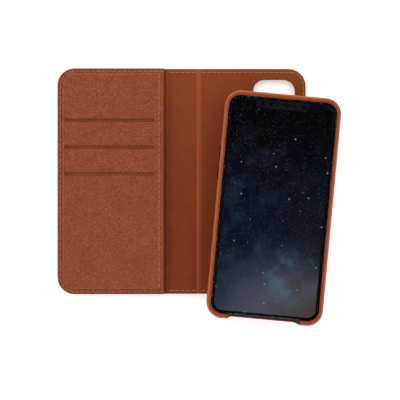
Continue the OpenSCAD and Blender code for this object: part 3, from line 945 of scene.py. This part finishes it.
def make_seams():
    stitch = make_stitch()
    panels = {
        "back": ("back_panel", FOLD_BACK + CREASE_HALF, RIGHT, 1, Z_INSIDE),
        "spine": ("spine", FOLD_FRONT + CREASE_HALF, FOLD_BACK - CREASE_HALF, 0, Z_INSIDE),
        "front": ("front_cover", LEFT, FOLD_FRONT - CREASE_HALF, -1, Z_MARGIN),
    }
    for panel, (body, x0, x1, side, z) in panels.items():
        places = edge_seam(x0, x1, side)
        sew(panel + "_seam", body, places, z, stitch, stands_for=(panel + "_stitching",))
        sew(panel + "_outside_seam", body, places, THREAD_R + 0.02 * MM, stitch, way=DOWN)
    reach = HALF_H - POCKET_RIM
    places = seam_run(Vector((POCKET_SEAM_X, -reach)), Vector((POCKET_SEAM_X, reach)))
    sew("pocket_seam", "front_cover", places, Z_POCKET_TOP, stitch, stands_for=("pocket_seam_stitching",))
    bpy.data.objects.remove(stitch)


# ---- Card pockets ----

POCKET_MARGIN = 3.2 * MM    # flat part of the border, which carries the seam
SHOULDER = [(0.35, 0.25), (0.35, 0.6), (0.35, 0.75), (0.4, 0.6), (0.4, 0.3), (0.4, 0.1)]  # in, up, in mm
MARGIN_ROLL = 0.5 * MM
SLIT_R = 0.9 * MM
SLIT_ROLL = 0.42 * MM
OPEN_EDGE_ROLL = 0.6 * MM
CARD_ROOM_FLOOR = Z_INSIDE + 0.6 * MM
NOTE_ROOM_TOP = Z_INSIDE + 0.75 * MM
THREAD_GROOVE_R = 0.42 * MM
LAYER_LINE = (0.4 * MM, 0.12 * MM)      # depth and height of a line between two layers
LINER_T = 0.2 * MM
LINER_PLAY = 0.1 * MM
LINER_HEAD = 4 * MM         # cloth above its slit
LINER_RUN = 15 * MM         # length over which the cloth sinks
LINER_STEPS = 12


def round_left_corners(obj, inset_by):
    low = min(v.co.x for v in obj.data.vertices)
    round_corners(obj, CORNER_R - inset_by, test=lambda p: p.x < low + TINY)


def pocket_cutters():
    """The rooms, slits, seam groove and layer lines of the pocket panel."""
    edge = CARD_ROOM_INSET
    low, top = (LEFT + edge, edge - HALF_H), HALF_H - edge
    room = block("card room", (*low, CARD_ROOM_FLOOR), (POCKET_EDGE - SEAM_BAND, top, Z_POCKET_UNDER))
    note = block("note room", (*low, 0.0), (POCKET_EDGE + MM, top, NOTE_ROOM_TOP))
    for cutter in (room, note):
        round_left_corners(cutter, edge)
    through = (Z_POCKET_UNDER - MM, Z_POCKET_TOP + MM)
    slits = [rounded_block("slit", SLIT, SLIT_R, *through, at=(SLIT_X, y), segments=5) for y in SLIT_Y]
    reach = HALF_H - 5.4 * MM
    groove = rod("seam groove", (POCKET_SEAM_X, 0, Z_POCKET_TOP + 0.2 * MM), THREAD_GROOVE_R, 2 * reach,
                 axis="Y", sides=16)
    depth, height = LAYER_LINE
    layers = [block("layer line", (POCKET_EDGE - depth, -top, z), (POCKET_EDGE + MM, top, z + height))
              for z in (Z_INSIDE + 2.1 * MM, Z_POCKET_UNDER - 0.1 * MM)]
    return room, note, *slits, groove, *layers


def at_slit(p):
    return abs(p.x - SLIT_X) < SLIT[0] / 2 + TINY and min(abs(p.y - y) for y in SLIT_Y) < SLIT[1]


def at_open_edge(edge):
    """Top edge of the side through which notes go in."""
    if any(abs(v.co.x - POCKET_EDGE) > TINY or v.co.z < Z_MARGIN - TINY for v in edge.verts):
        return False
    normals = [face.normal for face in edge.link_faces]
    return any(n.x > 0.9 for n in normals) and any(n.z > 0.2 for n in normals)


def make_pocket_panel():
    spare = 12 * MM     # cut off again, so that the open edge has no border
    panel = block("pocket_leather", (LEFT, -HALF_H, Z_INSIDE), (POCKET_EDGE + spare, HALF_H, Z_MARGIN))
    round_left_corners(panel, 0)
    round_rim(panel, Z_MARGIN, MARGIN_ROLL, segments=3)
    round_rim(panel, Z_INSIDE, 0.12 * MM, segments=1)
    press_seam(panel, UP, MARGIN_ROLL)
    with editing(panel):
        flat_face(panel, UP)
        inset(POCKET_MARGIN - SEAM_INSET - SEAM_GROOVE)
        for width, rise in SHOULDER:
            inset(width * MM, rise * MM)
    keep_side(panel, POCKET_EDGE, -1)
    carve(panel, *pocket_cutters())
    round_rim(panel, Z_POCKET_TOP, SLIT_ROLL, segments=4, test=at_slit)
    with editing(panel):
        pick(panel, "edges", at_open_edge)
        bevel(OPEN_EDGE_ROLL, 4)
    complete(panel, "front_cover", "outer_leather", OUTER, stands_for=("pocket_panel",))


def make_liner(k, node):
    """Cloth behind a slit: held under the leather above it, it sinks to its own level further down."""
    held = Z_POCKET_UNDER - 0.13 * MM
    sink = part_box(node)[0].z + LINER_T / 2 - held
    low = (LEFT + CARD_ROOM_INSET + LINER_PLAY, -HALF_H + CARD_ROOM_INSET + LINER_PLAY)
    high = (POCKET_EDGE - SEAM_BAND - LINER_PLAY, SLIT_Y[k] + SLIT[1] / 2 + LINER_HEAD)
    size = (high[0] - low[0], high[1] - low[1])
    liner = plane(node + "_cloth", ((low[0] + high[0]) / 2, (low[1] + high[1]) / 2, held), size)
    with editing(liner):
        pick(liner, "verts", lambda v: v.co.x < low[0] + TINY and v.co.y < low[1] + TINY)
        bpy.ops.mesh.bevel(offset=CORNER_R - CARD_ROOM_INSET, segments=6, affect="VERTICES")
    start = SLIT_Y[k] + MM
    slice_at(liner, 1, [start - LINER_RUN * j / LINER_STEPS for j in range(LINER_STEPS + 1)])
    for j in range(1, LINER_STEPS + 1):
        t = j / LINER_STEPS
        row = start - LINER_RUN * t
        foot = j == LINER_STEPS
        shift(liner, (0, 0, sink * t * t * (3 - 2 * t)),
              lambda v: abs(v.co.y - row) < TINY or foot and v.co.y < row)
    modify(liner, "SOLIDIFY", thickness=LINER_T, offset=0)
    complete(liner, "front_cover", "pocket_fabric", POCKET_CLOTH, stands_for=(node,))


# ---- Inner case ----

PORT_GAP = (42 * MM, 50 * MM)   # width at its foot and above the lip
KEY_PLAY = 0.2 * MM
FLANGE_REACH = 1.1 * MM     # of a key's flange beyond its cap
FLANGE_T = 0.5 * MM


def port_cutter():
    x, top = PORT_GAP[0] / 2, CASE[2] + MM
    cutter = block("port gap", (-x, -CASE[1], Z_PHONE), (x, MM - CAVITY[1] / 2, top))
    with editing(cutter):
        pick(cutter, "faces", lambda f: f.normal.z > 0.9)
        bpy.ops.transform.resize(value=(PORT_GAP[1] / PORT_GAP[0], 1, 1), center_override=(0, 0, top))
        pick(cutter, "edges", lambda e: along(e, 1) and mid(e).z < Z_PHONE + TINY)
        bevel(1.5 * MM, 5)
    return cutter


def make_case_wrap():
    wrap = rounded_block("case_leather", CASE[:2], CASE_R, 0, CASE[2], segments=16)
    round_rim(wrap, 0.0, 2.1 * MM, segments=7)
    round_rim(wrap, CASE[2], 1.35 * MM, segments=6)
    room = rounded_block("shell room", grown(CASE[:2], -WRAP_T), CASE_R - WRAP_T,
                         BACK_WRAP_T, CASE[2] - WRAP_T, segments=16)
    mouth = rounded_block("mouth", CAVITY, CAVITY_R, CASE[2] - 1.5 * WRAP_T, CASE[2] + MM, segments=14)
    carve(wrap, room, mouth)
    inner = lambda p: abs(p.x) < CAVITY[0] / 2 + TINY and abs(p.y) < CAVITY[1] / 2 + TINY
    round_rim(wrap, CASE[2], 0.7 * MM, segments=4, test=inner)
    eye = rounded_block("eye", EYE, EYE_R, -MM, BACK_WRAP_T + 0.1 * MM, at=EYE_AT)
    windows = [side_bar("key window", side * KEY_SEAT_X, side * (CASE[0] / 2 + MM), y,
                        length + KEY_PLAY, KEY_H + KEY_PLAY) for _, side, y, length in KEYS]
    carve(wrap, eye, *windows, port_cutter())
    round_rim(wrap, 0.0, 0.3 * MM, segments=3, test=lambda p: abs(p.x - EYE_AT[0]) < EYE[0] / 2 + TINY)
    complete_in_case(wrap, "inner_case", "case_leather", CASE_HIDE, stands_for=("case_wrap",))


def make_key(body, side, y, length):
    """A key cap with a rounded rim, on a flange that keeps it in the shell, with a plunger behind."""
    shoulder = KEY_SEAT_X - 0.05 * MM
    outer = CASE[0] / 2 + KEY_PROUD
    key = side_bar(body + "_cap", side * (shoulder - FLANGE_T), side * shoulder, y,
                   length + 2 * FLANGE_REACH, KEY_H + 2 * FLANGE_REACH)
    with editing(key):
        pick(key, "faces", lambda f: f.normal.x * side > 0.9)
        inset(FLANGE_REACH)
        extrude((side * (outer - shoulder), 0, 0))
        pick(key, "edges", lambda e: not along(e, 0) and mid(e).x * side > outer - 0.1 * MM)
        bevel(0.3 * MM, 4)
        pick(key, "faces", lambda f: f.normal.x * side < -0.9 and f.calc_area() > 8 * MM * MM)
        inset(1.5 * MM)
        extrude((side * -0.2 * MM, 0, 0))
    complete_in_case(key, body, "black_metal", KEY_METAL, stands_for=(body + "_key",))


# ---- Phone ----

PHONE_KEYS = [  # side, place along the phone, half length
    (-1, 33.2 * MM, 4.25 * MM),
    (-1, 19.9 * MM, 4.25 * MM),
    (1, 28.6 * MM, 7.7 * MM),
]
WEIGHT_ROOM = (28.2 * MM, 56.2 * MM)
PORT_DEPTH = 5.5 * MM
SOUND_HOLE_R = 0.6 * MM
SOUND_HOLES_X = [8.6 * MM + 2.2 * MM * k for k in range(5)]
SENSORS = [(-13.7, 1.25), (-8.3, 1.25), (8.0, 0.7), (13.2, 1.3)]    # place across the bar, radius, in mm
SENSOR_DROP = 1.95 * MM     # from the top of the lit part to the sensors
LENS_STEPS = [(0.5, 0.08), (0.1, -0.3), (1.2, -0.04), (0.1, -0.08)]  # in and out, from a lens's rim, in mm


def phone_block(name, inset_by, z0, z1, segments=14):
    return rounded_block(name, grown(PHONE, -inset_by), PHONE_R - inset_by, z0, z1, segments=segments)


def camera_cutter(name, grow, z0, z1):
    size = grown(CAMERA, grow)
    return close_ends(rounded_block(name, size, HALF_ROUND * size[0], z0, z1, at=CAMERA_AT, segments=10))


def frame_cutters(top):
    """The rooms, key seats, port and sound holes of the phone's frame."""
    low, high = heights("phone_ballast")
    x, y = WEIGHT_ROOM
    weight = block("weight room", (-x, -y, low - 0.1 * MM), (x, y, high + 0.05 * MM))
    display_room = phone_block("display room", BORDER_INSET - 0.05 * MM, Z_DISPLAY, top + MM)
    middle = (Z_PHONE + Z_PHONE_TOP) / 2
    key_x, key_z = (34.9 * MM, 36 * MM), 0.95 * MM
    seats = []
    for side, y, half in PHONE_KEYS:
        x0, x1 = sorted(side * x for x in key_x)
        seats.append(block("key seat", (x0, y - half, middle - key_z), (x1, y + half, middle + key_z)))
    edge = -PHONE[1] / 2
    x, z = PORT[0] / 2, PORT[1] / 2
    port = block("port", (-x, edge - MM, middle - z), (x, edge + PORT_DEPTH, middle + z))
    round_corners(port, 1.55 * MM, axis=1, segments=6)
    holes = [rod("sound hole", (side * x, edge, middle), SOUND_HOLE_R, 3 * MM, axis="Y", sides=16)
             for side in (-1, 1) for x in SOUND_HOLES_X]
    return weight, display_room, *seats, port, join("holes", *holes)


def make_phone_frame():
    z0, z1 = Z_PHONE + BACK_GLASS_T, Z_GLASS
    band = phone_block("phone_band", 0, z0, z1)
    for z in (z0, z1):
        round_rim(band, z, 0.5 * MM, segments=4)
    carve(band, *frame_cutters(z1))
    complete_in_case(band, "phone", "black_metal", FRAME_METAL, stands_for=("phone_frame",))


def make_phone_back():
    back = phone_block("phone_back", GLASS_INSET, Z_PHONE, Z_PHONE + BACK_GLASS_T)
    round_rim(back, Z_PHONE, 0.5 * MM, segments=4)
    carve(back, camera_cutter("bump hole", 0.02 * MM, Z_PHONE - MM, Z_PHONE + MM))
    complete_in_case(back, "phone", "black_glass", BLACK_GLASS, stands_for=("phone_back_glass",))


def make_camera():
    low, high = heights("phone_camera_bump")
    bump = camera_cutter("camera_housing", -0.05 * MM, low, high)
    round_rim(bump, low, 0.4 * MM, segments=4)
    low, high = heights("phone_camera_lenses")
    spots = [(CAMERA_AT[0], CAMERA_AT[1] + side * LENS_SPREAD) for side in (-1, 1)]
    seat_r = LENS_R + 0.05 * MM
    carve(bump, *[rod("lens seat", (*spot, low), seat_r, 2 * (high - low), sides=40) for spot in spots])
    complete_in_case(bump, "phone", "black_metal", FRAME_METAL, stands_for=("phone_camera_bump",))

    lenses = []
    for spot in spots:
        lens = rod("lens", (*spot, (low + high) / 2), LENS_R, high - low, sides=40)
        with editing(lens):
            flat_face(lens, DOWN)
            for width, rise in LENS_STEPS:
                inset(width * MM, rise * MM)
        lenses.append(lens)
    pair = join("camera_lenses", *lenses)
    complete_in_case(pair, "phone", "black_glass", BLACK_GLASS, stands_for=("phone_camera_lenses",))


def notch_block(name, play, rise):
    """The sensor bar's shape, grown by play all round and by rise at the top."""
    lit_top = PHONE[1] / 2 - BEZEL
    low = Vector((-NOTCH[0] / 2, lit_top - NOTCH[1], Z_DISPLAY + 0.3 * MM))
    high = Vector((NOTCH[0] / 2, lit_top + 0.3 * MM, Z_GLASS))
    obj = block(name, low - Vector((play, play, play)), high + Vector((play, play, rise)))
    round_corners(obj, 2.6 * MM, test=lambda p: p.y < lit_top - MM, segments=8)
    return obj


def make_phone_front():
    display = phone_block("display_panel", BORDER_INSET, Z_DISPLAY, Z_GLASS)
    with editing(display):
        flat_face(display, UP)
        inset(BEZEL - BORDER_INSET)
    carve(display, notch_block("notch", 0.02 * MM, MM))
    # the ring round the lit area takes the border grey, which paints the glass edge's highlight
    paint(display, lambda f: f.normal.z > 0.9 and f.calc_area() > 1000 * MM * MM)
    complete_in_case(display, "phone", "display", PRINTED_BORDER_AND_PAINTED_HIGHLIGHT, DISPLAY, stands_for=("phone_display",))

    bar = notch_block("sensor_bar", 0, 0)
    y = PHONE[1] / 2 - BEZEL - SENSOR_DROP
    dots = [rod("dot", (x * MM, y, Z_GLASS), r * MM, 0.2 * MM, sides=20) for x, r in SENSORS]
    slot = rounded_block("earpiece", (8.6 * MM, MM), 0.49 * MM, Z_GLASS - 0.1 * MM, Z_GLASS + MM,
                         at=(0, y), segments=6)
    carve(bar, join("dots", *dots), slot)
    paint(bar, lambda f: f.normal.z > 0.9 and mid(f).z < Z_GLASS - 0.05 * MM)
    complete_in_case(bar, "phone", "black_glass", SENSOR_GREY, BLACK_GLASS,
                     stands_for=("phone_sensor_bar",))

    glass = phone_block("cover_glass", GLASS_INSET, Z_GLASS + 0.03 * MM, Z_PHONE_TOP, segments=16)
    round_rim(glass, Z_PHONE_TOP, 0.4 * MM, segments=6)
    complete_in_case(glass, "phone", "front_glass", GLASS, stands_for=("phone_front_glass",))


def finish_cad_nodes():
    """Materials for the CAD nodes that keep their own shape."""
    finishes = {
        "back_board": BOARD, "spine_board": BOARD, "front_board": BOARD, "docking_magnets": NICKEL,
        "note_pocket_backing": BACKING_CLOTH, "case_shell": SHELL, "case_microfibre": MICROFIBRE,
        "case_steel_plate": STEEL, "phone_ballast": BALLAST, "phone_side_keys": SIDE_KEY_METAL,
        "phone_port_tongue": CONTACT,
    }
    for node, material in finishes.items():
        obj = frame["nodes"][node]
        if not obj.material_slots:
            obj.data.materials.append(material)
        for held in obj.material_slots:
            held.material = material


# ---- Studio ----

VIEW_AT = Vector((-35.26, -12.57, 332.4)) * MM      # the camera looks straight down
LENS = 43.96
FLOOR_SIZE = 4.0
BOX_SIZE = (1.6, 0.8)
BOX_HEIGHT = 0.55


def soft_box(name, at, power):
    """A wide lamp beside the object, turned towards its middle."""
    light = bpy.data.lights.new(name, "AREA")
    light.shape, light.energy = "RECTANGLE", power
    light.size, light.size_y = BOX_SIZE
    obj = bpy.data.objects.new(name, light)
    bpy.context.scene.collection.objects.link(obj)
    obj.location = (*at, BOX_HEIGHT)
    aim = Vector((VIEW_AT.x, VIEW_AT.y, 0)) - obj.location
    obj.rotation_euler = aim.to_track_quat("-Z", "Y").to_euler()


def make_studio():
    scene = bpy.context.scene
    camera = bpy.data.objects.new("camera", bpy.data.cameras.new("camera"))
    scene.collection.objects.link(camera)
    camera.location = VIEW_AT
    camera.data.lens = LENS
    camera.data.clip_start = 0.01
    scene.camera = camera
    scene.view_settings.view_transform = "Standard"

    floor = plane("floor", (VIEW_AT.x, VIEW_AT.y, -0.02 * MM), (FLOOR_SIZE, FLOOR_SIZE))
    paper, w, skin = finish("white paper", Roughness=0.9, Specular_IOR_Level=0.1, Emission_Strength=0.4)
    tone = w.noise(w.add("TexCoord").outputs["Object"], 40 * MM)
    w.feed(skin["Base Color"], w.mix(tone, (0.93, 0.93, 0.93, 1), (0.95, 0.95, 0.95, 1)))
    floor.data.materials.append(paper)

    soft_box("north light", (-0.04, 0.86), 5.8)
    soft_box("west light", (-0.92, 0.0), 4.5)
    soft_box("east light", (0.85, 0.0), 4.3)
    soft_box("south light", (-0.04, -0.9), 3.4)

    world = bpy.data.worlds.new("studio")
    scene.world = world
    world.use_nodes = True
    w = Wiring(world.node_tree)
    up = w.parts(w.add("TexCoord").outputs["Generated"])[2]
    glow = w.fade(up, 0.88, 0.45, 0.02, 0.81)   # dark overhead, so that the cover glass stays black
    back = world.node_tree.nodes["Background"]
    w.feed(back.inputs["Color"], w.add("CombineColor", {0: glow, 1: glow, 2: glow}).outputs[0])


make_folio()
make_seams()
make_pocket_panel()
for number, pocket in enumerate(("pocket_liner_top", "pocket_liner_middle", "pocket_liner_bottom")):
    make_liner(number, pocket)
make_case_wrap()
for key_row in KEYS:
    make_key(*key_row)
make_phone_frame()
make_phone_back()
make_camera()
make_phone_front()
finish_cad_nodes()
make_studio()
